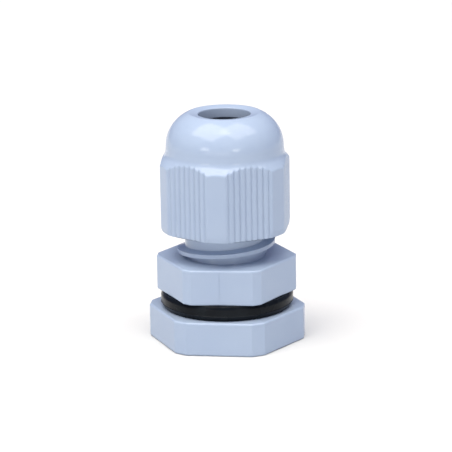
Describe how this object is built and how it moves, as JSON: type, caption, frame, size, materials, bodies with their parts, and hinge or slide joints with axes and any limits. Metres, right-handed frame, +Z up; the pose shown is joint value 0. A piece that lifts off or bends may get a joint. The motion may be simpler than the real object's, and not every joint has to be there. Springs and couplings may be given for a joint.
{
  "type": "cable gland",
  "caption": "Nylon cable gland with a domed ribbed nut, slotted claw, rubber insert, threaded body, sealing washer and lock nut.",
  "frame": {"origin": "on the gland's axis, in the plane of the lock nut's lower face, where it stands", "axes": "+Z up the axis towards the cable hole, -Y the front, +X to the right of it"},
  "size_m": [0.024, 0.0228, 0.0355],
  "materials": {
    "nylon": "semi-gloss moulded nylon",
    "claw_nylon": "plain moulded nylon",
    "rubber": "smooth black rubber"
  },
  "bodies": {
    "lock_nut": {"lock_nut": "nylon"},
    "sealing_washer": {"sealing_washer": "rubber"},
    "gland_body": {"gland_body": "nylon", "claw_ring": "claw_nylon"},
    "sealing_insert": {"sealing_insert": "rubber"},
    "dome_nut": {"dome_nut": "nylon"},
    "claw_finger_01": {"claw_finger_01": "claw_nylon"},
    "claw_finger_02": {"claw_finger_02": "claw_nylon"},
    "claw_finger_03": {"claw_finger_03": "claw_nylon"},
    "claw_finger_04": {"claw_finger_04": "claw_nylon"},
    "claw_finger_05": {"claw_finger_05": "claw_nylon"},
    "claw_finger_06": {"claw_finger_06": "claw_nylon"},
    "claw_finger_07": {"claw_finger_07": "claw_nylon"},
    "claw_finger_08": {"claw_finger_08": "claw_nylon"},
    "claw_finger_09": {"claw_finger_09": "claw_nylon"},
    "claw_finger_10": {"claw_finger_10": "claw_nylon"},
    "claw_finger_11": {"claw_finger_11": "claw_nylon"},
    "claw_finger_12": {"claw_finger_12": "claw_nylon"}
  },
  "joints": [
    {"name": "panel_gap", "type": "slide", "parent": "lock_nut", "child": "sealing_washer", "axis": [0, 0, 1], "range_m": [0, 0.0042]},
    {"name": "body_turn", "type": "hinge", "parent": "sealing_washer", "child": "gland_body", "pos_m": [0, 0, 0.0076], "axis": [0, 0, 1], "range_deg": [0, 1071.5]},
    {"name": "dome_nut_travel", "type": "slide", "parent": "gland_body", "child": "sealing_insert", "axis": [0, 0, 1], "range_m": [-0.004, 0.002], "deforming": ["sealing_insert"]},
    {"name": "dome_nut_turn", "type": "hinge", "parent": "sealing_insert", "child": "dome_nut", "pos_m": [0, 0, 0.0175], "axis": [0, 0, 1], "range_deg": [-480.1, 240.1]},
    {"name": "claw_finger_01_bend", "type": "hinge", "parent": "gland_body", "child": "claw_finger_01", "pos_m": [0, -0.00568, 0.02305], "axis": [-1, 0, 0], "range_deg": [-4, 8]},
    {"name": "claw_finger_02_bend", "type": "hinge", "parent": "gland_body", "child": "claw_finger_02", "pos_m": [0.00284, -0.00492, 0.02305], "axis": [-0.866, -0.5, 0], "range_deg": [-4, 8]},
    {"name": "claw_finger_03_bend", "type": "hinge", "parent": "gland_body", "child": "claw_finger_03", "pos_m": [0.00492, -0.00284, 0.02305], "axis": [-0.5, -0.866, 0], "range_deg": [-4, 8]},
    {"name": "claw_finger_04_bend", "type": "hinge", "parent": "gland_body", "child": "claw_finger_04", "pos_m": [0.00568, 0, 0.02305], "axis": [0, -1, 0], "range_deg": [-4, 8]},
    {"name": "claw_finger_05_bend", "type": "hinge", "parent": "gland_body", "child": "claw_finger_05", "pos_m": [0.00492, 0.00284, 0.02305], "axis": [0.5, -0.866, 0], "range_deg": [-4, 8]},
    {"name": "claw_finger_06_bend", "type": "hinge", "parent": "gland_body", "child": "claw_finger_06", "pos_m": [0.00284, 0.00492, 0.02305], "axis": [0.866, -0.5, 0], "range_deg": [-4, 8]},
    {"name": "claw_finger_07_bend", "type": "hinge", "parent": "gland_body", "child": "claw_finger_07", "pos_m": [0, 0.00568, 0.02305], "axis": [1, 0, 0], "range_deg": [-4, 8]},
    {"name": "claw_finger_08_bend", "type": "hinge", "parent": "gland_body", "child": "claw_finger_08", "pos_m": [-0.00284, 0.00492, 0.02305], "axis": [0.866, 0.5, 0], "range_deg": [-4, 8]},
    {"name": "claw_finger_09_bend", "type": "hinge", "parent": "gland_body", "child": "claw_finger_09", "pos_m": [-0.00492, 0.00284, 0.02305], "axis": [0.5, 0.866, 0], "range_deg": [-4, 8]},
    {"name": "claw_finger_10_bend", "type": "hinge", "parent": "gland_body", "child": "claw_finger_10", "pos_m": [-0.00568, 0, 0.02305], "axis": [0, 1, 0], "range_deg": [-4, 8]},
    {"name": "claw_finger_11_bend", "type": "hinge", "parent": "gland_body", "child": "claw_finger_11", "pos_m": [-0.00492, -0.00284, 0.02305], "axis": [-0.5, 0.866, 0], "range_deg": [-4, 8]},
    {"name": "claw_finger_12_bend", "type": "hinge", "parent": "gland_body", "child": "claw_finger_12", "pos_m": [-0.00284, -0.00492, 0.02305], "axis": [-0.866, 0.5, 0], "range_deg": [-4, 8]}
  ],
  "couplings": [
    {"joint": "body_turn", "follows": "panel_gap", "rad_per_m": 4452.7},
    {"joint": "dome_nut_turn", "follows": "dome_nut_travel", "rad_per_m": 2094.4},
    {"joint": "claw_finger_01_bend", "follows": "dome_nut_travel", "rad_per_m": -34.907},
    {"joint": "claw_finger_02_bend", "follows": "dome_nut_travel", "rad_per_m": -34.907},
    {"joint": "claw_finger_03_bend", "follows": "dome_nut_travel", "rad_per_m": -34.907},
    {"joint": "claw_finger_04_bend", "follows": "dome_nut_travel", "rad_per_m": -34.907},
    {"joint": "claw_finger_05_bend", "follows": "dome_nut_travel", "rad_per_m": -34.907},
    {"joint": "claw_finger_06_bend", "follows": "dome_nut_travel", "rad_per_m": -34.907},
    {"joint": "claw_finger_07_bend", "follows": "dome_nut_travel", "rad_per_m": -34.907},
    {"joint": "claw_finger_08_bend", "follows": "dome_nut_travel", "rad_per_m": -34.907},
    {"joint": "claw_finger_09_bend", "follows": "dome_nut_travel", "rad_per_m": -34.907},
    {"joint": "claw_finger_10_bend", "follows": "dome_nut_travel", "rad_per_m": -34.907},
    {"joint": "claw_finger_11_bend", "follows": "dome_nut_travel", "rad_per_m": -34.907},
    {"joint": "claw_finger_12_bend", "follows": "dome_nut_travel", "rad_per_m": -34.907}
  ]
}
